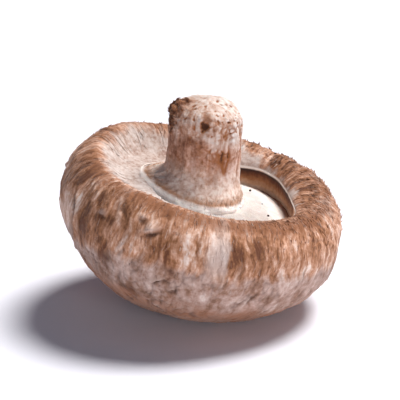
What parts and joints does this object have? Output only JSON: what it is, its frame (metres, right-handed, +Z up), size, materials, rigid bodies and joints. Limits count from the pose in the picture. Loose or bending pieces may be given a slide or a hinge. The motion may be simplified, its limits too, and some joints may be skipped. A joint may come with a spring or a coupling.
{
  "type": "shiitake mushroom",
  "caption": "Fresh, thick-capped shiitake mushroom lying upside down on its crown, with a rolled-in margin, pale gills in the hollow and a short, stout stem.",
  "frame": {"origin": "middle of the whole mushroom's outline seen from above, on the surface that it rests on", "axes": "+Z up, out of the surface; the cap's axis leans 12 degrees from +Z towards +X; -Y is the side that shows the hollow best"},
  "size_m": [0.0578, 0.058, 0.0448],
  "materials": {
    "cap_skin": "matte, fibrous, frosted brown skin, white where the margin rolls in",
    "gill_tissue": "matte cream-white blades",
    "stem_tissue": "matte, pinkish cream and brown, rough and pitted at the cut end"
  },
  "bodies": {
    "root": {"cap": "cap_skin", "gills": "gill_tissue", "stem": "stem_tissue"}
  },
  "joints": []
}
